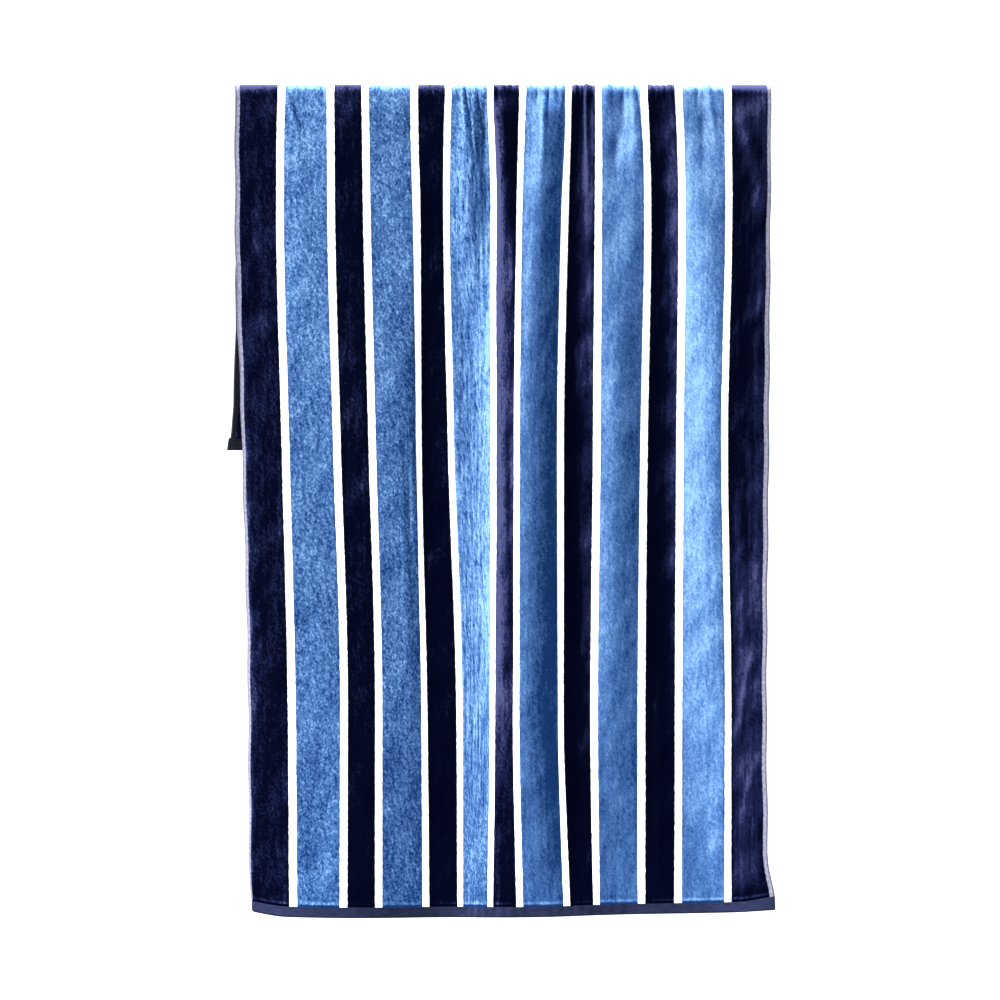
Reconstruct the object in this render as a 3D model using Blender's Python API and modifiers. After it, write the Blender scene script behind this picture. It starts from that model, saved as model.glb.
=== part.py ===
"""Beach towel: one sheet of velour cotton, hung folded over a rail that is not part of it.

The front layer hangs to a hem at knee height and the back layer to a hem half-way down.
The frame is in metres, +Z up, with the origin inside the crest fold, where the rail would
touch. The front layer faces -Y, and +X is to the right of someone who looks at it.
"""

import math
from collections import namedtuple

import bmesh
import bpy

MM = 0.001  # the sizes and tables below are in millimetres

# The cloth as it was cut and sewn
CLOTH_WIDTH = 889
CLOTH_LENGTH = 1829
PILE_THICKNESS = 3.0
HEM_THICKNESS = 3.6
SELVAGE_THICKNESS = 2.0
HEM_WIDTH = 17
SELVAGE_WIDTH = 7.5

# How it hangs
RAIL_DIAMETER = 25
FRONT_LENGTH = 1268.5  # of the cloth, from the front hem up to the crest
HEM_RISE_LEFT = 10  # the front hem's ends hang this much higher than its middle
HEM_RISE_RIGHT = 11
HEM_BEND_LEFT = 12  # a higher power keeps the rise nearer to that end
HEM_BEND_RIGHT = 2
BACK_SWING_LEFT = 10  # the back hem's ends hang this much left of the crest's ends
BACK_SWING_RIGHT = 6
BACK_SWING_BEND = 6  # a higher power keeps the swing nearer to the hem

# Lines that run down the front layer, each at its distance across the flat cloth from the
# left edge. At each level, place is how far right of the origin the line hangs, and out is
# how far it stands in front of the rail's front.
Line = namedtuple("Line", "across place out")
FRONT_LEVELS = (0, 172, 522, 932, 1258)
FRONT_LINES = (
    Line(0.0, (-407, -407, -396, -386, -382), (0, 2, 6, 4, -3)),
    Line(18.0, (-390, -389, -381, -372, -370), (0, 3, 9, 11, -1)),
    Line(142.5, (-268, -267, -259, -248, -248), (0, 9, 9, 7, 8)),
    Line(276.5, (-142, -139, -133, -126, -124), (0, 4, -2, -7, -4)),
    Line(338.5, (-84, -86, -80, -67, -65), (0, -3, -16, -18, -6)),
    Line(375.0, (-53, -51, -48, -42, -43), (0, 3, -10, -10, -4)),
    Line(416.5, (-20, -15, -15, -15, -21), (0, 7, 9, 4, 0)),
    Line(444.0, (4, 5, 4, 3, 3), (0, 23, 25, 18, 2)),
    Line(472.5, (29, 24, 21, 20, 25), (0, 22, 33, 27, 3)),
    Line(505.0, (58, 52, 47, 47, 54), (0, 28, 36, 28, 2)),
    Line(550.5, (98, 92, 85, 86, 96), (0, 13, 20, 12, 0)),
    Line(575.0, (117, 115, 109, 108, 115), (0, 8, 14, 8, -2)),
    Line(606.5, (144, 143, 141, 138, 141), (0, 13, 18, 10, -5)),
    Line(645.0, (178, 180, 176, 172, 174), (0, 14, 22, 11, -7)),
    Line(684.5, (212, 217, 212, 208, 208), (0, 13, 16, 7, -8)),
    Line(712.5, (238, 243, 239, 236, 236), (0, 8, 10, 3, -9)),
    Line(740.5, (265, 270, 268, 265, 265), (0, 16, 15, -1, -9)),
    Line(779.5, (301, 305, 299, 301, 301), (0, 28, 29, 5, -8)),
    Line(818.5, (339, 339, 332, 339, 340), (0, 26, 34, 11, -3)),
    Line(850.0, (370, 369, 363, 365, 369), (0, 20, 33, 13, 1)),
    Line(889.0, (405, 404, 401, 398, 408), (0, 22, 36, 22, 5)),
)

# The same lines on the back layer, where out is how far a line stands behind the rail's back
BACK_LEVELS = (0, 200, 540)
BACK_LINES = (
    Line(0.0, None, (0, 2, 4)),
    Line(150.0, None, (0, 5, 9)),
    Line(320.0, None, (0, 3, 6)),
    Line(440.0, None, (0, 14, 24)),
    Line(575.0, None, (0, 3, 6)),
    Line(690.0, None, (0, 11, 17)),
    Line(800.0, None, (0, 4, 7)),
    Line(889.0, None, (0, 9, 16)),
)

# Cells of the sheet: each stretch's end on the flat cloth, and the number of cells in it.
# Across, they are closer where the folds are steep. Along, from the front hem to the back
# one, they are closest over the rail.
CELLS_ACROSS = ((330, 15), (620, 24), (CLOTH_WIDTH, 13))
QUARTER_TURN = math.pi / 4 * (RAIL_DIAMETER + PILE_THICKNESS)
CELLS_ALONG = (
    (HEM_WIDTH, 1),
    (1100, 12),
    (FRONT_LENGTH - QUARTER_TURN, 4),
    (FRONT_LENGTH + QUARTER_TURN, 8),
    (1400, 3),
    (CLOTH_LENGTH - HEM_WIDTH, 6),
    (CLOTH_LENGTH, 1),
)


def cell_edges(stretches):
    """Places of the cells' edges along one side of the flat cloth."""
    edges = [0.0]
    for end, count in stretches:
        start = edges[-1]
        edges += [start + (end - start) * k / count for k in range(1, count + 1)]
    return edges


def smooth_value(stops, values, at):
    """The value at one place on a smooth curve through the stops, which stays between them."""
    steps = [
        (values[k + 1] - values[k]) / (stops[k + 1] - stops[k])
        for k in range(len(stops) - 1)
    ]
    slopes = [steps[0]]
    for before, after in zip(steps, steps[1:]):
        slopes.append(2 * before * after / (before + after) if before * after > 0 else 0)
    slopes.append(steps[-1])
    k = max(k for k in range(len(steps)) if at >= stops[k] or k == 0)
    span = stops[k + 1] - stops[k]
    t = min(max((at - stops[k]) / span, 0), 1)
    start_pull, end_pull = slopes[k] * span, slopes[k + 1] * span
    return (
        values[k] * (1 + 2 * t) * (1 - t) ** 2
        + values[k + 1] * t * t * (3 - 2 * t)
        + start_pull * t * (1 - t) ** 2
        - end_pull * t * t * (1 - t)
    )


def on_lines(lines, levels, column, across, drop):
    """Reads place or out from a table of lines, at a distance across and a drop."""
    stops = [line.across for line in lines]
    values = [smooth_value(levels, getattr(line, column), drop) for line in lines]
    return smooth_value(stops, values, across)


def hem_rise(across):
    """How much higher the front hem hangs here than at its middle."""
    side = across / CLOTH_WIDTH * 2 - 1
    if side < 0:
        return HEM_RISE_LEFT * abs(side) ** HEM_BEND_LEFT
    return HEM_RISE_RIGHT * side**HEM_BEND_RIGHT


def draped(across, along):
    """Where a point of the flat cloth hangs, on the middle of the cloth's thickness."""
    radius = (RAIL_DIAMETER + PILE_THICKNESS) / 2
    axis_height = -RAIL_DIAMETER / 2
    past_crest = FRONT_LENGTH - along  # positive down the front, negative down the back
    drop = abs(past_crest) - QUARTER_TURN
    if drop <= 0:
        turn = past_crest / radius
        place = on_lines(FRONT_LINES, FRONT_LEVELS, "place", across, 0)
        return place, -radius * math.sin(turn), axis_height + radius * math.cos(turn)
    if past_crest > 0:
        place = on_lines(FRONT_LINES, FRONT_LEVELS, "place", across, drop)
        out = on_lines(FRONT_LINES, FRONT_LEVELS, "out", across, drop)
        rise = hem_rise(across) * drop / (FRONT_LENGTH - QUARTER_TURN)
        return place, -radius - out, axis_height - drop + rise
    share = drop / (CLOTH_LENGTH - FRONT_LENGTH - QUARTER_TURN)
    swing = BACK_SWING_LEFT + (BACK_SWING_RIGHT - BACK_SWING_LEFT) * across / CLOTH_WIDTH
    place = on_lines(FRONT_LINES, FRONT_LEVELS, "place", across, 0) - swing * share**BACK_SWING_BEND
    out = on_lines(BACK_LINES, BACK_LEVELS, "out", across, drop)
    return place, radius + out, axis_height - drop


def thickness_at(across, along):
    """The hems are turned and sewn, and the selvages have no pile."""
    if min(along, CLOTH_LENGTH - along) <= HEM_WIDTH:
        return HEM_THICKNESS
    if min(across, CLOTH_WIDTH - across) <= SELVAGE_WIDTH:
        return SELVAGE_THICKNESS
    return PILE_THICKNESS


def towel_mesh(name):
    """A flat grid of cells, each of its vertices then hung where it belongs."""
    edges_across = cell_edges(CELLS_ACROSS)
    edges_along = cell_edges(CELLS_ALONG)
    columns, rows = len(edges_across) - 1, len(edges_along) - 1
    bm = bmesh.new()
    bmesh.ops.create_grid(bm, x_segments=columns, y_segments=rows, size=1)
    weights = bm.verts.layers.deform.verify()
    for vert in bm.verts:
        across = edges_across[round((vert.co.x + 1) / 2 * columns)]
        along = edges_along[round((vert.co.y + 1) / 2 * rows)]
        vert.co = [value * MM for value in draped(across, along)]
        vert[weights][0] = thickness_at(across, along) / HEM_THICKNESS
    mesh = bpy.data.meshes.new(name)
    bm.to_mesh(mesh)
    bm.free()
    mesh.shade_smooth()
    return mesh


def velour_material():
    """Navy ground colour of the striped pile: matt, soft cotton."""
    material = bpy.data.materials.new("velour")
    material.use_nodes = True
    shader = material.node_tree.nodes["Principled BSDF"]
    shader.inputs["Base Color"].default_value = (0.012, 0.016, 0.06, 1)
    shader.inputs["Roughness"].default_value = 0.95
    shader.inputs["Metallic"].default_value = 0
    return material


def clear_scene():
    for obj in list(bpy.data.objects):
        bpy.data.objects.remove(obj, do_unlink=True)


def main():
    clear_scene()
    collection = bpy.data.collections.new("beach_towel")
    bpy.context.scene.collection.children.link(collection)
    towel = bpy.data.objects.new("towel", towel_mesh("towel"))
    towel.data.materials.append(velour_material())
    collection.objects.link(towel)
    towel.vertex_groups.new(name="thickness")
    solidify = towel.modifiers.new("cloth thickness", "SOLIDIFY")
    solidify.thickness = HEM_THICKNESS * MM
    solidify.offset = 0
    solidify.vertex_group = "thickness"
    solidify.use_even_offset = True


main()
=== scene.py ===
import math
from collections import namedtuple

import bmesh
import bpy
import numpy as np
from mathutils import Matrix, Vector, noise


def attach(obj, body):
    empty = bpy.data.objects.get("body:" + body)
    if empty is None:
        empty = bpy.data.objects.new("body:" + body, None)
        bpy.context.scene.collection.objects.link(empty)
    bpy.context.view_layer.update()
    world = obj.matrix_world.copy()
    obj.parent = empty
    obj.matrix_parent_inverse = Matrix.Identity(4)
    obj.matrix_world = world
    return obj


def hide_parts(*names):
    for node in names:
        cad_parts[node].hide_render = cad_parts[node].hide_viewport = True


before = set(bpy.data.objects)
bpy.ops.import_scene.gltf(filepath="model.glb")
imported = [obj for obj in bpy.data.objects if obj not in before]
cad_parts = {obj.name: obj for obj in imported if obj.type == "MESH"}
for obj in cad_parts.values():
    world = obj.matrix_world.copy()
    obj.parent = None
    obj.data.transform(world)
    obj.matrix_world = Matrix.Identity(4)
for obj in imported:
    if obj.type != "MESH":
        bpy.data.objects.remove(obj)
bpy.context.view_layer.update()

# Looks of a striped velour beach towel that hangs folded over a thin rail. Sizes are in mm
# and become metres when a mesh is made. +Z is up, and the long front layer faces -Y.
mm = 0.001

cloth = {
    "width": 889,
    "length": 1829,
    "frontLength": 1268.5,  # from the front hem up to the crest
    "hemWidth": 17,
    "selvageWidth": 7.5,
    "railDiameter": 25,
    "pile": 3.0,  # thickness of the sheared cloth
    "backSwing": (10, 6),  # the back hem's ends hang this much further left
    "swingPower": 6,  # a higher power keeps the swing nearer to the hem
    "backHemStep": 2.6,  # that hem is this much longer at each end than the cloth above it
    "stepPower": 25,  # a higher odd power keeps the step nearer to the ends
    "foldsGrow": (-10, 30),  # the front's folds grow between these drops below the rail
}
radius = (cloth["railDiameter"] + cloth["pile"]) / 2
axisHeight = -cloth["railDiameter"] / 2
quarterTurn = math.pi / 2 * radius
frontDrop = cloth["frontLength"] - quarterTurn  # from the rail's front down to the hem
backDrop = cloth["length"] - cloth["frontLength"] - quarterTurn

# Lines down the front, each at its distance across the flat cloth, mostly along the white
# stripes. place is how far right of the origin the line hangs at each level below the rail.
Line = namedtuple("Line", "across place")
placeLevels = (0, 62, 172, 522, 932, 1258)
placeLines = (
    Line(0.0, (-407, -407, -407, -396, -386, -384)),
    Line(8.0, (-398.5, -398.5, -398, -390, -381.5, -382)),
    Line(20.0, (-387.5, -387.5, -387, -379, -370.5, -370)),
    Line(70.5, (-336, -337.5, -338, -330, -320, -317.5)),
    Line(148.5, (-262.5, -262, -261.5, -253, -242, -242.5)),
    Line(204.5, (-209.5, -208.5, -207, -199, -189, -189)),
    Line(276.5, (-142, -141.5, -138.5, -133, -125.5, -123.5)),
    Line(288.5, (-130, -129.5, -126.5, -125, -116.5, -113)),
    Line(338.5, (-83.5, -85.5, -86.5, -79.5, -66.5, -65)),
    Line(416.5, (-20.5, -17.5, -14.5, -14.5, -15.5, -21)),
    Line(472.5, (29, 27, 24, 20.5, 19.5, 25)),
    Line(544.5, (93.5, 92, 86.5, 80, 82, 91)),
    Line(556.5, (102.5, 101, 98, 90.5, 90, 101.5)),
    Line(606.5, (144, 144, 143.5, 141.5, 137.5, 141)),
    Line(684.5, (212, 214.5, 217, 211.5, 208, 208.5)),
    Line(740.5, (265, 268, 270.5, 267.5, 265, 264.5)),
    Line(818.5, (339, 339, 339, 332.5, 339, 339.5)),
    Line(881.0, (398.5, 398.5, 396.5, 391, 389.5, 393.5)),
    Line(889.0, (405, 405, 403.5, 400.5, 397.5, 401.5)),
)

# How many degrees the front faces left of straight ahead along more such lines. Together
# with the places these say how far each fold stands out, starting from the left edge.
Facing = namedtuple("Facing", "across left")
facingLevels = (60, 190, 430, 800, 1040, 1258)
facingLines = (
    Facing(0, (4, 6, 22, 52, 62, 65)),
    Facing(8, (3, 5, 12, 22, 26, 26)),
    Facing(16, (2, 3, 6, 8, 10, 15)),
    Facing(50, (3, 6, 8, 4, 7, 12)),
    Facing(87, (2, 6, 1, -4, -5, 5)),
    Facing(110, (1, -2, 2, -3, -2, 6)),
    Facing(132, (6, 2, 2, -5, 0, 0)),
    Facing(176, (2, -3, 4, -3, -1, -4)),
    Facing(221, (-3, -1, 0, -3, -7, -12)),
    Facing(244, (-2, -1, -3, -5, -10, -14)),
    Facing(266, (-6, -1, -7, -15, -14, -15)),
    Facing(282, (-4, -6, -18, -20, -16, -8)),
    Facing(300, (0, -8, -8, -6, -10, -4)),
    Facing(322, (-2, -6, -4, -6, -8, -1)),
    Facing(352, (4, 8, 1, 4, 2, 4)),
    Facing(364, (20, 18, 3, 3, 1, -1)),
    Facing(377, (1, 5, 10, 7, 0, -5)),
    Facing(389, (-18, -3, 18, 15, 0, 2)),
    Facing(403, (-14, 3, 28, 21, 5, 6)),
    Facing(415, (14, 34, 38, 38, 15, 5)),
    Facing(427, (56, 56, 34, 34, 6, -10)),
    Facing(444, (-24, 6, 20, 9, -2, -8)),
    Facing(460, (-20, -5, 3, -6, -5, -6)),
    Facing(484, (10, 14, 7, -8, -8, -13)),
    Facing(500, (24, 10, -9, -17, -15, -12)),
    Facing(515, (-12, -15, -19, -29, -23, -4)),
    Facing(535, (-30, -29, -34, -44, -38, -8)),
    Facing(543, (-24, -27, -32, -40, -32, -10)),
    Facing(551, (-14, -13, -15, -20, -20, -12)),
    Facing(565, (-8, -6, -16, -24, -22, -14)),
    Facing(590, (27, 23, 11, 2, -9, -12)),
    Facing(606, (17, 5, 12, 8, -6, -20)),
    Facing(623, (6, 3, 11, 3, -9, -18)),
    Facing(645, (9, 9, -5, -9, -9, -12)),
    Facing(665, (17, -1, -11, -14, -8, -6)),
    Facing(684, (2, -8, -13, -18, -15, -6)),
    Facing(700, (-2, -8, -14, -20, -12, -6)),
    Facing(727, (22, 26, 14, 9, 0, 0)),
    Facing(741, (14, 30, 26, 18, 7, 0)),
    Facing(757, (6, 27, 25, 19, 11, 0)),
    Facing(780, (2, 10, 20, 19, 14, 6)),
    Facing(802, (8, 0, 11, 9, 23, 10)),
    Facing(819, (-2, -8, -8, -4, 12, 4)),
    Facing(832, (8, -10, -2, 15, 28, 22)),
    Facing(853, (14, 2, -4, 24, 28, 16)),
    Facing(873, (-2, 12, 6, 24, 27, 10)),
    Facing(889, (4, 0, 0, 10, 14, 4)),
)
foldSoftness = 7  # mm on each side of a line

# How far the front stands out along a few lines. Between them the cloth turns a little more
# or less than the table above says to keep to this, mostly in its white stripes.
Stand = namedtuple("Stand", "across out")
standLevels = (0, 172, 522, 932, 1258)
standLines = (
    Stand(0.0, (0, 2, 6, 4, -6)),
    Stand(338.5, (0, -3, -16, -18, -7)),
    Stand(550.5, (0, 13, 20, 12, 0)),
    Stand(712.5, (0, 8, 10, 3, -9)),
    Stand(889.0, (0, 22, 36, 22, 6)),
)

# Widths of the stripes. One repeat is white, light blue, white, navy.
stripes = {
    "order": ("white", "blue", "white", "navy"),
    "white": 11.4,
    "blue": 67.2,
    "navy": 44,
    "firstWhite": 64.8,
    "firstNavy": 23,  # the navy at both sides is wider than its stripes between
    "lastNavy": 850,
    "give": {"white": 1, "blue": 0.1, "navy": 0.2},  # how readily each takes a turn
    "soft": 1.4,  # over which one colour becomes the next
    "ragged": 1.1,  # how far the pile of one colour leans into the next
    "raggedAcross": 5,
    "raggedLength": 9,
    "groove": 1.6,  # where two colours part, with painted shade along the groove
}
stripeBorders = np.cumsum([0] + [stripes[colour] for colour in stripes["order"]])

# Lines down the back layer: out is how far each stands behind the rail's back
BackLine = namedtuple("BackLine", "across out")
backLevels = (0, 80, 200, 540)
backLines = (
    BackLine(0, (0, 1, 2, 4)),
    BackLine(150, (0, 3, 5, 9)),
    BackLine(320, (0, 1, 3, 6)),
    BackLine(385, (0, 6, 11, 17)),
    BackLine(440, (0, 3, 14, 24)),
    BackLine(505, (0, 8, 9, 13)),
    BackLine(575, (0, 1, 3, 6)),
    BackLine(640, (0, 6, 9, 10)),
    BackLine(690, (0, 3, 11, 17)),
    BackLine(770, (0, 5, 6, 9)),
    BackLine(820, (0, 2, 4, 7)),
    BackLine(889, (0, 4, 9, 16)),
)

# The front hem: how much higher than its lowest place it hangs, and how its corners flare
frontHem = {
    "across": (0, 15, 62, 250, 480, 600, 684, 775, 840, 889),
    "rise": (10.6, 7.6, 1.5, 0, 0.5, 3, 4.5, 6, 8, 12),
    "flare": (2.5, 9.5),  # to the right, at the left and right corners
    "flareReach": 40,
    "flareHeight": (45, 85),
    "endLift": 4.5,  # at its right end the hem's upper edge is lifted by this
    "endReach": 45,
    "endGrows": (2, 16),  # between these distances from the hem's edge
    "endFades": (18, 60),
    "stiffReach": 36,  # the sewn hem bends less sharply than the cloth above it
    "stiffHeight": 80,
}


def smoothCurve(stops, values, at):
    # a smooth curve through the stops that never swings past them, for each column of values
    stops, values, at = np.array(stops, float), np.array(values, float), np.array(at, float)
    steps = np.diff(values, axis=0) / np.diff(stops)[:, None]
    before, after = steps[:-1], steps[1:]
    sameWay = before * after > 0
    middle = np.where(sameWay, 2 * before * after / np.where(sameWay, before + after, 1), 0)
    slopes = np.concatenate([steps[:1], middle, steps[-1:]])
    k = np.clip(np.searchsorted(stops, at, side="right") - 1, 0, len(stops) - 2)
    span = (stops[k + 1] - stops[k])[:, None]
    t = np.clip((at - stops[k])[:, None] / span, 0, 1)
    ends = values[k] * (1 + 2 * t) * (1 - t) ** 2 + values[k + 1] * t * t * (3 - 2 * t)
    return ends + span * (slopes[k] * t * (1 - t) ** 2 - slopes[k + 1] * t * t * (1 - t))


def onLines(lines, levels, across, drop):
    # the lines' second column at each across and drop, as a grid with a row for each across
    stops = [line[0] for line in lines]
    byLevel = np.array([line[1] for line in lines], float).T
    atLines = smoothCurve(levels, byLevel, drop).T
    reach = np.minimum(foldSoftness, np.minimum(across, cloth["width"] - across))
    shares = (0.1, 0.24, 0.32, 0.24, 0.1)  # a soft mean, so that no line shows as an edge
    near = [smoothCurve(stops, atLines, across + k * reach / 2) for k in (-2, -1, 0, 1, 2)]
    return sum(share * grid for share, grid in zip(shares, near))


def fade(value, start, end):
    # 0 before start, 1 after end, and smooth in between
    t = np.clip((value - start) / (end - start), 0, 1)
    return t * t * (3 - 2 * t)


# Small creases, as they lie on the flat cloth. past is the distance down from the crest, and
# rise is how far the cloth stands out there: above 0 a ridge, below 0 a furrow.
Crease = namedtuple("Crease", "across past endAcross endPast width rise")
crestCreases = (
    Crease(118, 0, 121, 14, 2.8, -1.0),
    Crease(137, 0, 138, 44, 4.0, -1.6),
    Crease(262, 0, 259, 22, 3.2, -0.9),
    Crease(346, 0, 361, 30, 2.3, -1.6),  # third light stripe: two folds fan out to the right
    Crease(364, 4, 373, 96, 3.2, 1.7),
    Crease(367, 0, 380, 70, 2.7, -2.3),
    Crease(380, 20, 383, 124, 4.6, -1.8),
    Crease(384, 0, 389, 40, 3.2, 0.9),
    Crease(383, 60, 392, 165, 2.1, 1.1),
    Crease(392, 0, 401, 76, 2.8, -1.9),
    Crease(404, 34, 404, 130, 4.6, -1.5),
    Crease(407, 0, 406, 30, 2.8, 1.2),
    Crease(426, 0, 433, 24, 2.3, -1.0),
    Crease(424, 10, 435, 190, 3.4, 1.7),
    Crease(444, 0, 446, 18, 2.4, -1.0),
    Crease(456, 0, 453, 20, 2.4, -1.0),
    Crease(486, 0, 488, 50, 3.4, 0.8),  # fourth: one bright fold between two dark pleats
    Crease(497, 2, 497, 44, 2.3, -1.7),
    Crease(508, 20, 511, 150, 4.2, 2.5),
    Crease(516, 8, 515, 60, 2.3, -1.8),
    Crease(522, 0, 527, 40, 3.8, 1.2),
    Crease(531, 0, 529, 26, 2.3, -1.2),
    Crease(539, 0, 536, 50, 3.0, 1.4),
    Crease(545, 6, 538, 60, 3.0, -1.2),
    Crease(560, 0, 560, 30, 2.2, -1.3),
    Crease(566, 0, 568, 40, 2.4, 0.9),
    Crease(571, 0, 571, 30, 2.1, -1.3),
    Crease(580, 0, 580, 40, 2.1, -1.3),
    Crease(585, 0, 590, 190, 3.2, 1.9),
    Crease(596, 0, 597, 50, 2.3, -1.3),
    Crease(621, 0, 624, 60, 6.5, 2.6),  # fifth: pleats that close to a trough
    Crease(631, 0, 634, 26, 2.2, -1.0),
    Crease(651, 10, 645, 100, 6.5, -2.2),
    Crease(638, 0, 641, 22, 2.1, -0.6),
    Crease(637, 84, 634, 150, 10.0, -3.0),
    Crease(652, 0, 651, 22, 2.2, -1.1),
    Crease(657, 0, 657, 30, 2.8, 0.8),
    Crease(668, 86, 668, 160, 11.0, 2.0),
    Crease(665, 0, 671, 120, 4.2, 1.1),
    Crease(671, 0, 673, 36, 2.1, -1.4),
    Crease(674, 4, 681, 110, 2.2, -1.9),
    Crease(694, 0, 700, 50, 2.6, 0.9),
    Crease(702, 0, 705, 30, 2.2, -1.3),
    Crease(712, 0, 711, 30, 2.2, -1.3),
    Crease(721, 0, 720, 30, 2.2, -1.2),
    Crease(727, 0, 730, 50, 2.4, 1.0),
    Crease(755, 0, 757, 26, 2.1, -0.8),  # sixth: a trough, and a fold that leans right
    Crease(762, 0, 765, 34, 3.0, 0.9),
    Crease(773, 0, 768, 52, 2.2, -1.1),
    Crease(777, 24, 778, 180, 8.0, -1.8),
    Crease(787, 0, 803, 130, 5.0, 2.2),
    Crease(792, 0, 803, 24, 2.1, -0.6),
    Crease(806, 0, 810, 30, 2.1, -0.8),
    Crease(814, 6, 815, 100, 2.6, -0.8),
)
frontCreases = (
    Crease(82, 30, 100, 80, 3.0, 2.6),  # slanting, below the crest at the left
    Crease(87, 30, 104, 74, 2.8, -1.4),
    Crease(106, 44, 122, 104, 3.0, 0.9),
    Crease(88, 96, 124, 190, 4.0, 0.9),
    Crease(300, 60, 292, 200, 5.0, 0.8),
    Crease(257, 560, 269, 980, 3.6, -2.6),  # dark fold down the second light stripe
    Crease(252, 590, 262, 940, 5.0, 1.0),
    Crease(230, 240, 246, 330, 7.0, 0.9),
    Crease(274, 500, 278, 620, 5.0, -1.6),
    Crease(279, 740, 281, 980, 5.0, -1.8),
    Crease(463, 230, 463, 400, 13.0, 4.2),  # a fold that closes beside the steep one
    Crease(455, 500, 456, 760, 6.0, -1.3),
    Crease(838, 40, 870, 150, 9.0, 3.4),  # soft slanting rolls near the right edge
    Crease(866, 145, 880, 230, 9.0, 1.6),
    Crease(832, 300, 846, 520, 9.0, 1.4),
    Crease(846, 620, 852, 880, 7.0, 1.6),
    Crease(864, 880, 840, 1000, 7.0, 2.4),
    Crease(868, 1050, 848, 1130, 6.0, 1.8),
)
wrinkles = {  # fine, short, uneven wrinkles down the steep side of the middle fold
    "across": 378,
    "reach": 36,
    "spacing": 5.0,
    "length": 50,
    "rise": 0.9,
    "from": 80,  # distances down from the crest
    "grown": 140,
    "fading": 1060,
    "to": 1150,
    "seed": 8.2,
}
unevenness = {  # slow swells of the whole sheet, and a slight wander of its long edges
    "rise": 1.5,
    "across": 62,
    "along": 170,
    "grown": 120,  # over the crest there is less
    "edge": 0.8,
    "edgeWave": 135,
    "edgePower": 12,  # a higher power keeps the wander nearer to the edges
    "seed": 3.7,
}
backShorter = 1.3  # the crest's creases are this much shorter down the back
creaseGrows = (-0.25, 0.3)  # shares of a crease's length between which it grows
creaseFades = (0.2, 1.2)


def creaseRise(crease, across, past, startFade):
    t = np.clip((past - crease.past) / (crease.endPast - crease.past), -0.3, 1.3)
    middle = crease.across + t * (crease.endAcross - crease.across)
    down = (1 - fade(t, *creaseFades)) * (fade(t, *creaseGrows) if startFade else 1)
    return crease.rise * down * np.exp(-(((across - middle) / crease.width) ** 2))


def softNoise(across, past, size, length, seed):
    # noise over the flat cloth whose swells have this size across it and length down it
    rows = [
        [noise.noise(Vector((a, b, seed))) for b in np.ravel(past) / length]
        for a in np.ravel(across) / size
    ]
    return np.array(rows)


def wrinkledPatch(across, past):
    # 1 where the cloth is finely wrinkled and 0 elsewhere
    a, b = np.array(across, float)[:, None], np.array(past, float)[None, :]
    w = wrinkles
    ends = fade(b, w["from"], w["grown"]) * (1 - fade(b, w["fading"], w["to"]))
    return np.exp(-(((a - w["across"]) / w["reach"]) ** 4)) * ends


def relief(across, past):
    # how far the small creases lift the cloth off its main folds
    a, b = np.array(across, float)[:, None], np.array(past, float)[None, :]
    rise = np.zeros((len(across), len(past)))
    for crease in crestCreases:
        gathered = np.abs(b) * np.where(b < 0, backShorter, 1)
        rise += creaseRise(crease, a, gathered, crease.past > 0)
    for crease in frontCreases:
        rise += creaseRise(crease, a, b, True)
    w = wrinkles
    fine = softNoise(across, past, w["spacing"], w["length"], w["seed"])
    rise += w["rise"] * wrinkledPatch(across, past) * fine
    u = unevenness
    swells = softNoise(across, past, u["across"], u["along"], u["seed"])
    return rise + u["rise"] * fade(np.abs(b), quarterTurn, u["grown"]) * swells


def giveUpTo(across):
    # how much give the stripes have between the left edge and each place across
    fine = np.linspace(0, cloth["width"], 800)
    within = np.clip(fine, stripes["firstNavy"], stripes["lastNavy"]) - stripes["firstWhite"]
    kinds = np.searchsorted(stripeBorders, within % stripeBorders[-1], side="right") - 1
    gives = np.array([stripes["give"][stripes["order"][kind]] for kind in kinds])
    return np.interp(across, fine, np.cumsum(gives))


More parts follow.
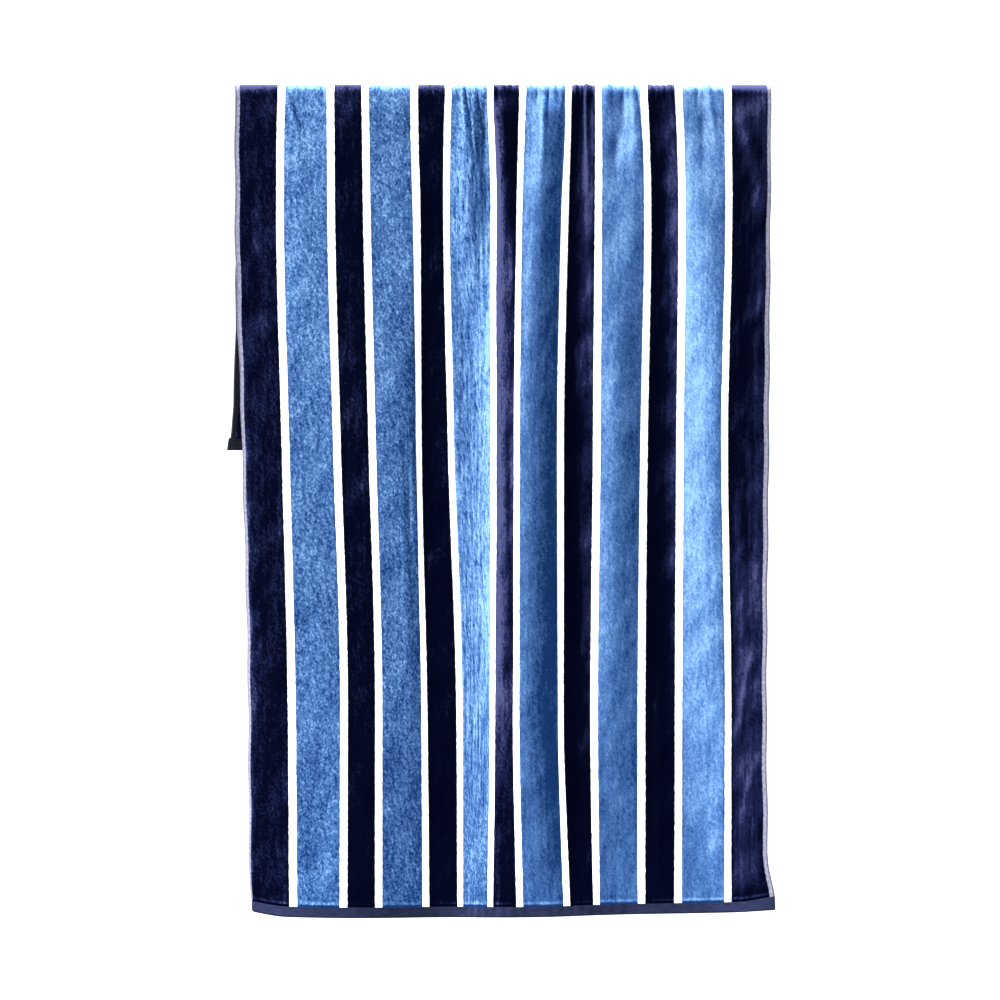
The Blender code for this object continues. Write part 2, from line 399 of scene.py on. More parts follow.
def hang(across, past):
    # where the main folds put the middle of the cloth's thickness
    across, past = np.array(across, float), np.array(past, float)
    down = np.maximum(np.abs(past) - quarterTurn, 0)
    onFront = past > 0
    turn = np.clip(past, -quarterTurn, quarterTurn) / radius
    frontDown = np.where(onFront, down, 0)
    frontPlace = onLines(placeLines, placeLevels, across, frontDown)
    fine = np.linspace(0, cloth["width"], 400)  # the folds' slopes are added up in small steps
    place = onLines(placeLines, placeLevels, fine, frontDown)
    left = onLines(facingLines, facingLevels, fine, frontDown)
    left = left * fade(frontDown, *cloth["foldsGrow"])
    steps = np.diff(place, axis=0) * np.tan(np.radians((left[1:] + left[:-1]) / 2))
    outs = np.concatenate([0 * steps[:1], steps]).cumsum(axis=0)
    pins = [stand.across for stand in standLines]
    wanted = smoothCurve(standLevels, np.array([stand.out for stand in standLines]).T, frontDown)
    missing = wanted - smoothCurve(fine, outs, pins).T
    give, giveAtPins = giveUpTo(fine), giveUpTo(pins)
    outs += np.array([np.interp(give, giveAtPins, gap) for gap in missing]).T
    frontOut = smoothCurve(fine, outs, across)
    shifts = frontHem["stiffReach"] * np.array((-1, -0.5, 0, 0.5, 1))
    places = [np.clip(across + shift, 0, cloth["width"]) for shift in shifts]
    gentle = sum(smoothCurve(fine, outs, at) for at in places) / len(places)
    stiff = fade(frontDown, frontDrop - frontHem["stiffHeight"], frontDrop - cloth["hemWidth"])
    frontOut = frontOut * (1 - stiff) + gentle * stiff
    backOut = onLines(backLines, backLevels, across, down)
    side = across[:, None] / cloth["width"] * 2 - 1
    rise = smoothCurve(frontHem["across"], np.array(frontHem["rise"])[:, None], across)
    rise = rise * down / frontDrop * onFront
    swing = cloth["backSwing"][0] + np.diff(cloth["backSwing"])[0] * (side + 1) / 2
    hemTop = backDrop - cloth["hemWidth"]
    hemStep = cloth["backHemStep"] * side ** cloth["stepPower"]
    hemStep = hemStep * fade(down, hemTop - 2, hemTop + 0.5)
    swing = swing * (down / backDrop) ** cloth["swingPower"]
    x = frontPlace - np.where(onFront, 0, swing - hemStep)
    y = -radius * np.sin(turn) + np.where(onFront, -frontOut, backOut)
    z = axisHeight + radius * np.cos(turn) - down + rise
    wander = unevenness["edge"] * np.sin(past / unevenness["edgeWave"] * 2 * math.pi)
    wander = wander * np.abs(side) ** unevenness["edgePower"]
    corner = fade(frontDown, frontDrop - np.where(side < 0, *frontHem["flareHeight"]), frontDrop)
    fromSide = np.minimum(across, cloth["width"] - across)[:, None]
    flare = np.where(side < 0, *frontHem["flare"]) * (1 - fade(fromSide, 0, frontHem["flareReach"]))
    return np.stack([x + wander + flare * corner, y, z], axis=-1)


def outward(points):
    # unit vectors square to the cloth, away from the rail, from a grid of points
    alongAcross = np.gradient(points, axis=0)
    alongPast = np.gradient(points, axis=1)
    square = np.cross(alongPast, alongAcross)
    return -square / np.linalg.norm(square, axis=-1, keepdims=True)


# The cloth's edges: at each distance in from the edge, how thick the cloth is and how far
# its middle is moved outwards. The hem is folded to the back, so it stands out there.
hemProfile = {
    "at": (0, 0.7, 2, 5, 12.5, 14.2, 14.8, 15.4, 17, 17.6, 19.5),
    "thick": (1.4, 2.8, 3.5, 3.7, 3.7, 3.3, 2.5, 3.3, 3.6, 3.2, 3.1),
    "shift": (-0.9, -0.9, -0.9, -0.9, -0.9, -0.8, -0.7, -0.8, -0.9, 0, 0),
    "corner": 3,  # so near to its end the hem gets thinner
    "cornerThin": 0.55,
}
selvageProfile = {
    "at": (0, 0.8, 1.7, 2.5, 6.6, 7.5, 8.3),
    "thick": (1.0, 1.9, 1.8, 1.3, 1.5, 1.7, 3.0),
}

# Cells of the sheet: each stretch's end on the flat cloth, and how many cells it has
cellsAcross = (
    (65, 10), (142, 25), (345, 33), (411, 40), (478, 26), (545, 38), (612, 28), (679, 38),
    (746, 24), (813, 36), (873, 14),
)
cellsPast = ((30, 10), (110, 16), (260, 15), (1225, 45))
backCells = ((30, 8), (110, 6), (530, 11))


def cellEdges(stretches, start=0.0):
    edges = [start]
    for end, count in stretches:
        edges += list(np.linspace(edges[-1], end, count + 1)[1:])
    return edges


def sheetEdges():
    # distances across, and distances past the crest from the front hem to the back one
    side = list(selvageProfile["at"]) + [10.5, 14]
    across = side + cellEdges(cellsAcross, side[-1])[1:]
    across = across + [cloth["width"] - s for s in reversed(side)]
    hem = list(hemProfile["at"]) + [23, 29]
    front = cloth["frontLength"] - np.array(hem)
    back = -(cloth["length"] - cloth["frontLength"] - np.array(hem))
    frontRows = [p for p in cellEdges(cellsPast) if p < front[-1] - 4]
    backRows = [-p for p in cellEdges(backCells)[1:] if p < -back[-1] - 4]
    past = list(front) + frontRows[::-1] + backRows + list(back[::-1])
    return np.array(across), np.array(past)


def clothSurface(across, past):
    # (middle of the cloth, unit vectors outward, thickness), with every crease and edge
    main = hang(across, past)
    out = outward(main)
    along = cloth["frontLength"] - past
    fromHem = np.minimum(along, cloth["length"] - along)[None, :]
    fromSide = np.minimum(across, cloth["width"] - across)[:, None]
    thick = np.where(
        fromHem < hemProfile["at"][-1],
        np.interp(fromHem, hemProfile["at"], hemProfile["thick"]),
        np.interp(fromSide, selvageProfile["at"], selvageProfile["thick"]),
    )
    thin = hemProfile["cornerThin"]
    cornerShare = thin + (1 - thin) * fromSide / hemProfile["corner"]
    corner = (fromSide < hemProfile["corner"]) & (fromHem < hemProfile["at"][-1])
    thick = np.where(corner, thick * cornerShare, thick)
    lift = relief(across, past) + np.interp(fromHem, hemProfile["at"], hemProfile["shift"])
    points = main + out * lift[..., None]
    rightEnd = fade(across, cloth["width"] - frontHem["endReach"], cloth["width"])[:, None]
    hemTop = fade(fromHem, *frontHem["endGrows"]) * (1 - fade(fromHem, *frontHem["endFades"]))
    points[..., 2] += frontHem["endLift"] * rightEnd * hemTop * (past > 0)
    return points, out, thick


def newObject(name, bm, materials):
    mesh = bpy.data.meshes.new(name)
    bm.to_mesh(mesh)
    bm.free()
    mesh.shade_smooth()
    for material in materials:
        mesh.materials.append(material)
    obj = bpy.data.objects.new(name, mesh)
    bpy.context.scene.collection.objects.link(obj)
    return obj


# Painted light over the crest: where the cloth faces up, towards the light above, its colour is
# painted paler
crestPaintedLight = {"everywhere": 0.64, "toTheRight": 0.15, "atTheEnds": 0.7}


def makeCloth(materials):
    across, past = sheetEdges()
    columns, rows = len(across) - 1, len(past) - 1
    points, out, thick = clothSurface(across, past)
    square = outward(points)
    # Painted light and shade: how far each place faces left, towards the key light, and how far it
    # faces up. The materials paint this into the cloth's colour.
    leftward = np.where(past > 0, -square[..., 0], square[..., 0])
    side = (across / cloth["width"] * 2 - 1)[:, None]
    paler = crestPaintedLight["everywhere"] + crestPaintedLight["toTheRight"] * side + crestPaintedLight["atTheEnds"] * side**6
    lit = leftward + paler * np.maximum(square[..., 2], 0)
    thickest = thick.max()
    wrinkled = wrinkledPatch(across, past)
    bm = bmesh.new()
    bmesh.ops.create_grid(bm, x_segments=columns, y_segments=rows, size=1)
    weights = bm.verts.layers.deform.verify()
    paintedLight = bm.verts.layers.float.new("paintedLight")
    ruffle = bm.verts.layers.float.new("ruffle")
    uv = bm.loops.layers.uv.new("flatCloth")
    cell = {}
    for vert in bm.verts:
        i = round((vert.co.x + 1) / 2 * columns)
        j = round((vert.co.y + 1) / 2 * rows)
        cell[vert.index] = (i, j)
        vert.co = points[i, j] * mm
        vert[weights][0] = thick[i, j] / thickest
        vert[paintedLight] = lit[i, j]
        vert[ruffle] = wrinkled[i, j]
    alongs = cloth["frontLength"] - past
    for face in bm.faces:
        corners = [cell[vert.index] for vert in face.verts]
        for loop, (i, j) in zip(face.loops, corners):
            loop[uv].uv = (across[i] * mm, alongs[j] * mm)
        middleAcross = sum(across[i] for i, j in corners) / 4
        middleAlong = sum(alongs[j] for i, j in corners) / 4
        if min(middleAlong, cloth["length"] - middleAlong) < cloth["hemWidth"]:
            face.material_index = 1
        elif min(middleAcross, cloth["width"] - middleAcross) < cloth["selvageWidth"]:
            face.material_index = 2
    obj = newObject("towelCloth", bm, materials)
    obj.vertex_groups.new(name="thickness")
    solidify = obj.modifiers.new("thickness", "SOLIDIFY")
    solidify.thickness = thickest * mm
    solidify.offset = 0
    solidify.vertex_group = "thickness"
    solidify.material_offset = 3
    print("cloth:", columns, "x", rows, "cells,", columns * rows * 4, "triangles")
    return obj


# Lock stitches along both hems, on both faces of the cloth
stitch = {
    "fromHem": 14.8,
    "length": 2.9,
    "thread": 0.55,
    "fromSide": 4,
    "doublings": 8,  # a row has 2 to this power
}


def makeStitches(material):
    # one stitch is doubled to a straight row, and each row is then laid on the draped cloth
    row = bmesh.new()
    bmesh.ops.create_uvsphere(row, u_segments=4, v_segments=3, radius=0.5)
    size = (stitch["length"], stitch["thread"], stitch["thread"])
    bmesh.ops.scale(row, verts=row.verts, vec=size)
    bmesh.ops.translate(row, verts=row.verts, vec=(stitch["fromSide"], 0, 0))
    pitch = (cloth["width"] - 2 * stitch["fromSide"]) / (2 ** stitch["doublings"] - 1)
    for doubling in range(stitch["doublings"]):
        copied = bmesh.ops.duplicate(row, geom=row.verts[:] + row.edges[:] + row.faces[:])
        added = [part for part in copied["geom"] if isinstance(part, bmesh.types.BMVert)]
        bmesh.ops.translate(row, verts=added, vec=(pitch * 2**doubling, 0, 0))
    rows = bmesh.new()
    samples = np.linspace(0, cloth["width"], 900)
    hems = (
        cloth["frontLength"] - stitch["fromHem"],
        cloth["frontLength"] - cloth["length"] + stitch["fromHem"],
    )
    for past in hems:
        middle, out, thick = clothSurface(samples, np.array([past - 0.5, past, past + 0.5]))
        down = middle[:, 2] - middle[:, 0]
        for side in (1, -1):
            laid = row.copy()
            for vert in laid.verts:
                flat = vert.co.copy()
                k = flat.x / cloth["width"] * (len(samples) - 1)
                i, part = int(k), k - int(k)
                on = middle[i, 1] * (1 - part) + middle[i + 1, 1] * part
                height = side * (thick[i, 1] / 2 + flat.z)
                vert.co = (on + down[i] * flat.y + out[i, 1] * height) * mm
            bmesh.ops.recalc_face_normals(laid, faces=laid.faces)
            mesh = bpy.data.meshes.new("stitchRow")
            laid.to_mesh(mesh)
            laid.free()
            rows.from_mesh(mesh)
            bpy.data.meshes.remove(mesh)
    row.free()
    return newObject("hemStitches", rows, [material])


def linearColour(hexColour):
    # sRGB hex to linear, with alpha 1
    parts = [int(hexColour[k : k + 2], 16) / 255 for k in (1, 3, 5)]
    return [p / 12.92 if p <= 0.04045 else ((p + 0.055) / 1.055) ** 2.4 for p in parts] + [1]


def addNode(tree, kind, settings=None, links=None):
    # settings go to the input of that name or number, or else to the node itself
    node = tree.nodes.new("ShaderNode" + kind)
    for name, value in (settings or {}).items():
        if isinstance(name, int) or name in node.inputs:
            node.inputs[name].default_value = value
        else:
            setattr(node, name, value)
    for name, source in (links or {}).items():
        tree.links.new(source, node.inputs[name])
    return node


def newMaterial(name):
    material = bpy.data.materials.new(name)
    material.use_nodes = True
    tree = material.node_tree
    return material, tree, tree.nodes["Principled BSDF"]


# Colours from painted shade to painted light: deep in the pile, of even pile, of raised pile and of
# the tips that catch the light, with a painted sheen on the navy's tips
shadeToLightStops = (0, 0.5, 0.75, 1)
shadeToLightColours = {
    "white": ("#F6F8FA", "#FAFAFA", "#FBFBFA", "#FCFCFA"),
    "blue": ("#183760", "#435F86", "#5A7597", "#708BA8"),
    "navy": ("#000218", "#03071F", "#1A203D", "#3F4360"),
}
tuftsShow = {"white": 0, "blue": 1, "navy": 0.4}  # a dark dye hides the pile's unevenness


def stripeRamp(tree, share, levels):
    # a colour for each stripe of a repeat, which turns softly into the next
    ramp = addNode(tree, "ValToRGB", {}, {0: share})
    stops = ramp.color_ramp.elements
    meeting = [(first + last) / 2 for first, last in zip(levels[0], levels[-1])]
    stops[0].color, stops[1].color = meeting, meeting
    half = stripes["soft"] / 2
    for level, start, end in zip(levels, stripeBorders, stripeBorders[1:]):
        stops.new((start + half) / stripeBorders[-1]).color = level
        stops.new((end - half) / stripeBorders[-1]).color = level
    return ramp.outputs["Color"]


def stripeColour(tree, flat, smooth, tufts):
    # The striped yarn. Its depth runs from 0, painted shade deep in the pile, to 1, painted light at
    # its tips: the smooth depth, and what the tufts add, which doesn't show as much in every colour.
    s = stripes
    repeat = stripeBorders[-1]
    leaning = addNode(
        tree,
        "Mapping",
        {"Scale": (1 / (s["raggedAcross"] * mm), 1 / (s["raggedLength"] * mm), 1)},
        {"Vector": flat},
    )
    leanNoise = addNode(tree, "TexNoise", {"Scale": 1, "Detail": 3}, {"Vector": leaning.outputs[0]})
    across = addNode(tree, "SeparateXYZ", {}, {0: flat}).outputs["X"]
    shift = addNode(
        tree,
        "MapRange",
        {"To Min": -s["ragged"] * mm, "To Max": s["ragged"] * mm},
        {"Value": leanNoise.outputs["Fac"]},
    )
    moved = addNode(tree, "Math", {"operation": "ADD"}, {0: across, 1: shift.outputs[0]})
    kept = addNode(
        tree,
        "Clamp",
        {"Min": s["firstNavy"] * mm, "Max": s["lastNavy"] * mm},
        {"Value": moved.outputs[0]},
    )
    fromFirst = addNode(
        tree, "Math", {"operation": "SUBTRACT", 1: s["firstWhite"] * mm}, {0: kept.outputs[0]}
    )
    repeats = addNode(
        tree, "Math", {"operation": "DIVIDE", 1: repeat * mm}, {0: fromFirst.outputs[0]}
    )
    share = addNode(tree, "Math", {"operation": "FRACT"}, {0: repeats.outputs[0]}).outputs[0]
    parting = addNode(tree, "ValToRGB", {}, {0: share})  # 0 where two colours part, 1 elsewhere
    stops = parting.color_ramp.elements
    stops[0].color, stops[1].color = (0, 0, 0, 1), (0, 0, 0, 1)
    for border in stripeBorders:
        for gap, level in ((-s["groove"], 1), (0, 0), (s["groove"], 1)):
            if 0 < border + gap < repeat:
                stops.new((border + gap) / repeat).color = (level, level, level, 1)
    # painted shade: a thin darker line in the groove where two colours part
    grooveShade = addNode(
        tree,
        "MapRange",
        {"To Min": -0.3, "To Max": 0},
        {"Value": parting.outputs["Color"]},
    )
    depth = addNode(tree, "Math", {"operation": "ADD"}, {0: smooth, 1: grooveShade.outputs[0]})
    show = stripeRamp(tree, share, [[tuftsShow[name]] * 3 + [1] for name in s["order"]])
    depth = addNode(
        tree, "Math", {"operation": "MULTIPLY_ADD"}, {0: tufts, 1: show, 2: depth.outputs[0]}
    ).outputs[0]
    colour = None
    for k, shadeToLightStop in enumerate(shadeToLightStops):
        dyed = stripeRamp(tree, share, [linearColour(shadeToLightColours[name][k]) for name in s["order"]])
        if colour is None:
            colour = dyed
            continue
        part = addNode(
            tree, "MapRange", {"From Min": shadeToLightStops[k - 1], "From Max": shadeToLightStop}, {"Value": depth}
        )
        mix = addNode(
            tree,
            "Mix",
            {"data_type": "RGBA"},
            {"Factor": part.outputs[0], 6: colour, 7: dyed},
        )
        colour = mix.outputs[2]
    return colour


# Each layer of the pile's unevenness: its size across and along the cloth in mm, its slant
# in degrees, and how much it moves the depth that shows
PileLayer = namedtuple("PileLayer", "across along slant detail share")
velour = {
    "tufts": (
        PileLayer(3.0, 4.2, 28, 2, 1.65),
        PileLayer(5.0, 11, -14, 1, 1.1),  # tufts that lean together
    ),
    "strokes": (
        PileLayer(8, 40, 5, 2, 0.45),  # where the pile was brushed
        PileLayer(7, 190, 0, 2, 0.35),
        PileLayer(34, 80, 28, 1, 0.7),
    ),
    "fleck": PileLayer(2.6, 18, -6, 1, 0.8),  # creased pile where the cloth is wrinkled
    "creased": 0.6,  # share of the tufts that still shows there
    "smoothed": (430, 490, 0.5),  # between these places across, the pile gets this even
    "even": 0.5,  # depth that shows where the cloth hangs flat
    "paintedLightShare": 0.85,  # how much of the folds' painted light and shade shows in the colour
    "bump": 0.6,
}
# Near the hem the pile shows darker towards the hem. It ends in a painted highlight line and then a
# painted shadow line next to the hem. Each row is a distance from the hem's edge and what it adds to
# the depth.
hemDarkeningAndPaintedLines = (
    (16, -0.9), (18.5, -0.9), (20, 0.1), (22.5, 0.1), (25, -0.2), (60, -0.12), (250, -0.08),
    (340, 0),
)


# Sheared cotton pile: matt, softly lit at its tips, with tufts that lean different ways
def makeVelour():
    material, tree, shader = newMaterial("shearedCottonPile")
    flat = addNode(tree, "UVMap", {"uv_map": "flatCloth"}).outputs[0]
    paintedLight = addNode(tree, "Attribute", {"attribute_name": "paintedLight"}).outputs["Fac"]
    # the folds' painted light and shade, stored on the cloth, moves the colour towards the lit tips or
    # the shaded deep dye
    smooth = addNode(
        tree,
        "Math",
        {"operation": "MULTIPLY_ADD", 1: velour["paintedLightShare"], 2: velour["even"]},
        {0: paintedLight},
    ).outputs[0]
    textures = []
    for layer in velour["tufts"] + velour["strokes"] + (velour["fleck"],):
        turned = addNode(
            tree,
            "Mapping",
            {"vector_type": "POINT", "Rotation": (0, 0, math.radians(layer.slant))},
            {"Vector": flat},
        )
        scaled = addNode(
            tree,
            "Mapping",
            {"Scale": (1 / (layer.across * mm), 1 / (layer.along * mm), 1)},
            {"Vector": turned.outputs[0]},
        )
        texture = addNode(
            tree, "TexNoise", {"Scale": 1, "Detail": layer.detail}, {"Vector": scaled.outputs[0]}
        )
        textures.append(texture.outputs["Fac"])
    fleck = addNode(
        tree,
        "MapRange",
        {"From Min": 0.54, "From Max": 0.68, "To Max": -velour["fleck"].share},
        {"Value": textures[-1]},
    )
    ruffle = addNode(tree, "Attribute", {"attribute_name": "ruffle"}).outputs["Fac"]
    mean = sum(layer.share for layer in velour["tufts"]) / 2  # the noise is 0.5 on average
    tufts = addNode(
        tree,
        "Math",
        {"operation": "MULTIPLY_ADD", 2: -mean},
        {0: fleck.outputs[0], 1: ruffle},
    ).outputs[0]
    for layer, texture in zip(velour["tufts"], textures):
        tufts = addNode(
            tree, "Math", {"operation": "MULTIPLY_ADD", 1: layer.share}, {0: texture, 2: tufts}
        ).outputs[0]
    for layer, texture in zip(velour["strokes"], textures[len(velour["tufts"]) :]):
        stroke = addNode(tree, "Math", {"operation": "SUBTRACT", 1: 0.5}, {0: texture})
        smooth = addNode(
            tree,
            "Math",
            {"operation": "MULTIPLY_ADD", 1: layer.share},
            {0: stroke.outputs[0], 2: smooth},
        ).outputs[0]
    places = addNode(tree, "SeparateXYZ", {}, {0: flat}).outputs
    # a painted highlight line and a painted shadow line above the hem, and darker towards the hem
    for (start, before), (end, after) in zip(hemDarkeningAndPaintedLines, hemDarkeningAndPaintedLines[1:]):
        step = addNode(
            tree,
            "MapRange",
            {"From Min": start * mm, "From Max": end * mm, "To Min": before - after, "To Max": 0},
            {"Value": places["Y"]},
        )
        smooth = addNode(
            tree, "Math", {"operation": "ADD"}, {0: smooth, 1: step.outputs[0]}
        ).outputs[0]
    start, end, left = velour["smoothed"]
    evenness = addNode(
        tree,
        "MapRange",
        {"From Min": start * mm, "From Max": end * mm, "To Min": 1, "To Max": left},
        {"Value": places["X"]},
    )
    creased = addNode(tree, "MapRange", {"To Min": 1, "To Max": velour["creased"]}, {"Value": ruffle})
    for softer in (evenness, creased):
        tufts = addNode(
            tree, "Math", {"operation": "MULTIPLY"}, {0: tufts, 1: softer.outputs[0]}
        ).outputs[0]
    tree.links.new(stripeColour(tree, flat, smooth, tufts), shader.inputs["Base Color"])
    height = addNode(
        tree, "Math", {"operation": "MULTIPLY_ADD", 1: 0.6}, {0: textures[2], 2: textures[0]}
    )
    bump = addNode(
        tree,
        "Bump",
        {"Strength": velour["bump"], "Distance": 1.0 * mm},
        {"Height": height.outputs[0]},
    )
    tree.links.new(bump.outputs[0], shader.inputs["Normal"])
    shader.inputs["Roughness"].default_value = 0.95
    shader.inputs["Specular IOR Level"].default_value = 0.02
    shader.inputs["Sheen Weight"].default_value = 0.02
    shader.inputs["Sheen Roughness"].default_value = 0.45
    shader.inputs["Sheen Tint"].default_value = linearColour("#B4BAEE")
    return material


terry = {"loop": 2.2, "loopLength": 1.8, "bump": 1.0, "streak": 5, "streakLength": 45}


# Unsheared loops on the reverse: darker, because light is caught between the loops
def makeTerry():
    material, tree, shader = newMaterial("loopedCottonTerry")
    flat = addNode(tree, "UVMap", {"uv_map": "flatCloth"}).outputs[0]
    loopPlace = addNode(
        tree,
        "Mapping",
        {"Scale": (1 / (terry["loop"] * mm), 1 / (terry["loopLength"] * mm), 1)},
        {"Vector": flat},
    )
    loops = addNode(tree, "TexVoronoi", {"Scale": 1}, {"Vector": loopPlace.outputs[0]})
    streakPlace = addNode(
        tree,
        "Mapping",
        {"Scale": (1 / (terry["streak"] * mm), 1 / (terry["streakLength"] * mm), 1)},
        {"Vector": flat},
    )
    streak = addNode(tree, "TexNoise", {"Scale": 1, "Detail": 3}, {"Vector": streakPlace.outputs[0]})
    smooth = addNode(
        tree,
        "MapRange",
        {"From Min": 0.35, "From Max": 0.65, "To Min": 0.2, "To Max": 0.85},
        {"Value": streak.outputs["Fac"]},
    )
    height = addNode(
        tree,
        "MapRange",
        {"From Max": 0.75, "To Min": 1, "To Max": 0},
        {"Value": loops.outputs["Distance"]},
    ).outputs[0]
    loopTips = addNode(tree, "MapRange", {"To Min": -0.35, "To Max": 0.3}, {"Value": height})
    colour = stripeColour(tree, flat, smooth.outputs[0], loopTips.outputs[0])
    tree.links.new(colour, shader.inputs["Base Color"])
    bump = addNode(
        tree, "Bump", {"Strength": 1, "Distance": terry["bump"] * mm}, {"Height": height}
    )
    tree.links.new(bump.outputs[0], shader.inputs["Normal"])
    shader.inputs["Roughness"].default_value = 0.97
    shader.inputs["Specular IOR Level"].default_value = 0.04
    return material


# colours of the hollows and of the crowns of its threads, on the face and on the reverse
hemWeave = {
    "face": ("#090C20", "#333B5C"),
    # the reverse's colours are darker and greyer than the face's: painted shade
    "reverse": ("#090A12", "#21232E"),
    "layers": (  # each one's size across and along the cloth, and its share of the height
        (14, 2.4, 0.9),  # ribs
        (1.5, 1.5, 0.7),  # threads
        (30, 14, 0.5),  # places that are rubbed more
    ),
    "foot": 2.6,  # the fold's underside, painted darker as shade
}


# Flat-woven, turned hem: smoother than the pile, with fine ribs along it
def makeHemWeave(side):
    material, tree, shader = newMaterial("flatWovenHem_" + side)
    flat = addNode(tree, "UVMap", {"uv_map": "flatCloth"}).outputs[0]
    paintedLight = addNode(tree, "Attribute", {"attribute_name": "paintedLight"}).outputs["Fac"]
    # the crowns start from the folds' painted light, so the hem is painted paler where it faces the
    # lights and darker where it turns away
    height = paintedLight
    for across, along, share in hemWeave["layers"]:
        scaled = addNode(
            tree, "Mapping", {"Scale": (1 / (across * mm), 1 / (along * mm), 1)}, {"Vector": flat}
        )
        texture = addNode(tree, "TexNoise", {"Scale": 1, "Detail": 2}, {"Vector": scaled.outputs[0]})
        height = addNode(
            tree,
            "Math",
            {"operation": "MULTIPLY_ADD", 1: share},
            {0: texture.outputs["Fac"], 2: height},
        ).outputs[0]
    along = addNode(tree, "SeparateXYZ", {}, {0: flat}).outputs["Y"]
    crown = addNode(tree, "MapRange", {"From Min": 0.55, "From Max": 1.75}, {"Value": height})
    # painted shade: the lowest few mm of the hem, which face down, take the dark hollow colour
    aboveFoot = addNode(
        tree,
        "MapRange",
        {"From Min": 0.4 * hemWeave["foot"] * mm, "From Max": hemWeave["foot"] * mm},
        {"Value": along},
    )
    share = addNode(
        tree, "Math", {"operation": "MULTIPLY"}, {0: crown.outputs[0], 1: aboveFoot.outputs[0]}
    )
    deep, high = (linearColour(colour) for colour in hemWeave[side])
    colour = addNode(
        tree, "Mix", {"data_type": "RGBA", 6: deep, 7: high}, {"Factor": share.outputs[0]}
    )
    tree.links.new(colour.outputs[2], shader.inputs["Base Color"])
    bump = addNode(tree, "Bump", {"Strength": 0.5, "Distance": 0.6 * mm}, {"Height": height})
    tree.links.new(bump.outputs[0], shader.inputs["Normal"])
    shader.inputs["Roughness"].default_value = 0.85
    shader.inputs["Specular IOR Level"].default_value = 0.2
    return material


# colours of its outer cord, of its pale band, and of the pile that leans over the band
selvageWeave = {
    "face": ("#5A5B6B", "#757585", "#0A0E24"),
    # the reverse's colours are much darker than the face's: painted shade
    "reverse": ("#3A3C48", "#16171F", "#05060D"),
    "edgeWidth": 1.8,
    "loop": 3.2,
    "loopLength": 5.5,
    "lean": 0.6,  # how far the pile leans over the band on average
    "ragged": 1.8,
    "soft": 0.6,  # over which the band becomes the cord; pile and band take twice this
}


# Flat-woven selvage: pale weft loops beside a greyer outer cord
def makeSelvage(side):
    material, tree, shader = newMaterial("flatWovenSelvage_" + side)
    half = cloth["width"] / 2
    flat = addNode(tree, "UVMap", {"uv_map": "flatCloth"}).outputs[0]
    across = addNode(tree, "SeparateXYZ", {}, {0: flat}).outputs["X"]
    fromLeft = addNode(tree, "Math", {"operation": "SUBTRACT", 1: half * mm}, {0: across})
    fromMiddle = addNode(tree, "Math", {"operation": "ABSOLUTE"}, {0: fromLeft.outputs[0]})
    scaled = addNode(
        tree,
        "Mapping",
        {"Scale": (1 / (selvageWeave["loop"] * mm), 1 / (selvageWeave["loopLength"] * mm), 1)},
        {"Vector": flat},
    )
    loops = addNode(tree, "TexNoise", {"Scale": 1, "Detail": 2}, {"Vector": scaled.outputs[0]})
    loops = loops.outputs["Fac"]
    ragged = addNode(
        tree,
        "Math",
        {"operation": "MULTIPLY_ADD", 1: selvageWeave["ragged"] * mm},
        {0: loops, 2: fromMiddle.outputs[0]},
    )
    cord, band, pile = (linearColour(colour) for colour in selvageWeave[side])
    cordFrom = half - selvageWeave["edgeWidth"]
    bandFrom = half - cloth["selvageWidth"] + selvageWeave["lean"] + selvageWeave["ragged"] / 2
    outer = addNode(
        tree,
        "MapRange",
        {"From Min": (cordFrom - selvageWeave["soft"]) * mm, "From Max": cordFrom * mm},
        {"Value": fromMiddle.outputs[0]},
    )
    inner = addNode(
        tree,
        "MapRange",
        {
            "From Min": (bandFrom - selvageWeave["soft"]) * mm,
            "From Max": (bandFrom + selvageWeave["soft"]) * mm,
        },
        {"Value": ragged.outputs[0]},
    )
    woven = addNode(tree, "Mix", {"data_type": "RGBA", 6: band, 7: cord}, {"Factor": outer.outputs[0]})
    shade = addNode(
        tree,
        "MapRange",
        {"From Min": 0.3, "From Max": 0.7, "To Min": 0.75, "To Max": 1.2},
        {"Value": loops},
    )
    shaded = addNode(
        tree,
        "Mix",
        {"data_type": "RGBA", "blend_type": "MULTIPLY", "Factor": 1.0},
        {6: woven.outputs[2], 7: shade.outputs[0]},
    )
    colour = addNode(
        tree, "Mix", {"data_type": "RGBA", 6: pile}, {"Factor": inner.outputs[0], 7: shaded.outputs[2]}
    )
    tree.links.new(colour.outputs[2], shader.inputs["Base Color"])
    bump = addNode(tree, "Bump", {"Strength": 0.6, "Distance": 0.6 * mm}, {"Height": loops})
    tree.links.new(bump.outputs[0], shader.inputs["Normal"])
    shader.inputs["Roughness"].default_value = 0.9
    shader.inputs["Specular IOR Level"].default_value = 0.2
    return material


# Spun polyester sewing thread: a little smoother and brighter than the cloth
def makeThread():
    material, tree, shader = newMaterial("spunSewingThread")
    place = addNode(tree, "TexCoord").outputs["Object"]
    twist = addNode(tree, "TexNoise", {"Scale": 900, "Detail": 1}, {"Vector": place})
    colour = addNode(
        tree,
        "Mix",
        {"data_type": "RGBA", 6: linearColour("#1C1F36"), 7: linearColour("#444868")},
        {"Factor": twist.outputs["Fac"]},
    )
    tree.links.new(colour.outputs[2], shader.inputs["Base Color"])
    shader.inputs["Roughness"].default_value = 0.6
    return material


# The camera is square to the towel, so far off that its sides stay upright
photo = {
    "pixel": 1.517,  # mm of the towel to one pixel of the 1000 pixel frame
    "centre": (-5.3, -626.6),  # right of and above the origin
    "distance": 8000,
    "sensor": 36,
}


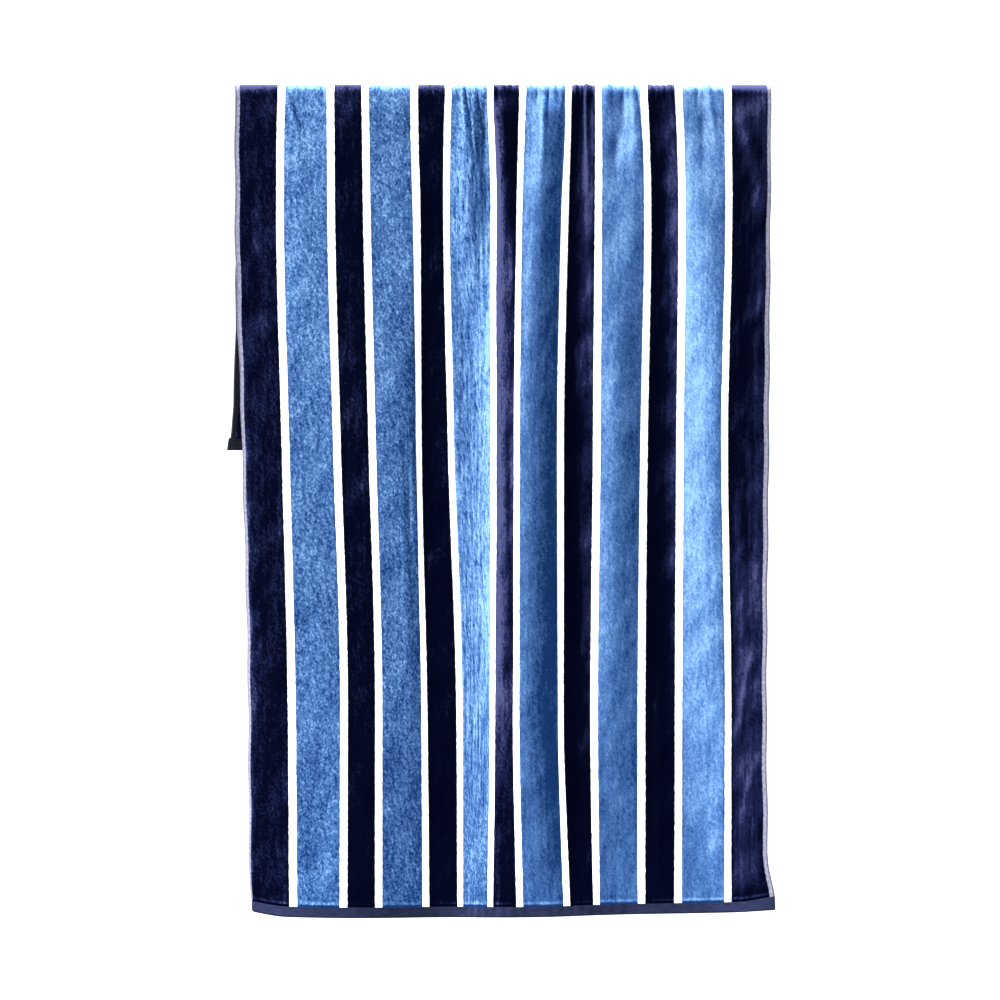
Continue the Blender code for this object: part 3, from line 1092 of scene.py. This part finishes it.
def makeCamera():
    data = bpy.data.cameras.new("camera")
    data.sensor_width = photo["sensor"]
    data.lens = photo["sensor"] * photo["distance"] / (1000 * photo["pixel"])
    obj = bpy.data.objects.new("camera", data)
    x, z = photo["centre"]
    obj.location = Vector((x, -photo["distance"], z)) * mm
    obj.rotation_euler = (math.pi / 2, 0, 0)
    bpy.context.scene.collection.objects.link(obj)
    bpy.context.scene.camera = obj


# Each light's place and what it faces in metres, its width and height, and its brightness
# as what a white surface square to it would show at that distance
Light = namedtuple("Light", "name place facing size shows")
lights = (
    Light("sideKey", (-5.4, -2.5, 1.9), (0, 0, -0.62), (2.2, 2.2), 2.9),
    Light("crestLight", (1.8, 0.5, 2.2), (0.4, 0, 0), (1.6, 0.7), 8.4),
    Light("rearKey", (4.0, 4.2, 2.0), (0, 0, -0.5), (2.5, 2.5), 1.6),
    Light("rearFill", (-3.5, 4.5, 0.5), (0, 0, -0.5), (2.5, 2.5), 0.6),
)
fillBrightness = 0.74


def makeLights():
    for light in lights:
        data = bpy.data.lights.new(light.name, "AREA")
        data.shape = "RECTANGLE"
        data.size, data.size_y = light.size
        way = Vector(light.facing) - Vector(light.place)
        data.energy = light.shows * math.pi**2 * way.length_squared
        obj = bpy.data.objects.new(light.name, data)
        obj.location = light.place
        obj.rotation_euler = way.to_track_quat("-Z", "Y").to_euler()
        obj.visible_camera = False
        bpy.context.scene.collection.objects.link(obj)
    world = bpy.data.worlds.new("studio")
    bpy.context.scene.world = world
    world.use_nodes = True
    tree = world.node_tree
    tree.nodes.clear()
    seen = addNode(tree, "LightPath").outputs["Is Camera Ray"]
    fill = addNode(tree, "Background", {"Strength": fillBrightness})
    white = addNode(tree, "Background", {"Color": (1, 1, 1, 1), "Strength": 1.3})
    both = addNode(
        tree, "MixShader", {}, {0: seen, 1: fill.outputs[0], 2: white.outputs[0]}
    )
    output = addNode(tree, "OutputWorld", {}, {0: both.outputs[0]})
    output.is_active_output = True


floor = {"radius": 2900, "height": -1750}


def makeFloor():
    bm = bmesh.new()
    bmesh.ops.create_circle(bm, cap_ends=True, segments=96, radius=floor["radius"] * mm)
    bmesh.ops.translate(bm, verts=bm.verts, vec=(0, 0, floor["height"] * mm))
    material, tree, shader = newMaterial("paleStudioFloor")
    shader.inputs["Base Color"].default_value = linearColour("#F2F2F0")
    shader.inputs["Roughness"].default_value = 0.9
    obj = newObject("floor", bm, [material])


def setPicture():
    view = bpy.context.scene.view_settings
    view.view_transform = "Standard"
    view.gamma = 1 / 1.3  # the photo is printed with deep contrast


makeCamera()
makeLights()
makeFloor()
setPicture()
print("camera, lights and floor are in place")

face = [makeVelour(), makeHemWeave("face"), makeSelvage("face")]
reverse = [makeTerry(), makeHemWeave("reverse"), makeSelvage("reverse")]
towel = makeCloth(face + reverse)
stitches = makeStitches(makeThread())
print("cloth and stitches are made")

for piece in (towel, stitches):
    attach(piece, "root")
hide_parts("towel")
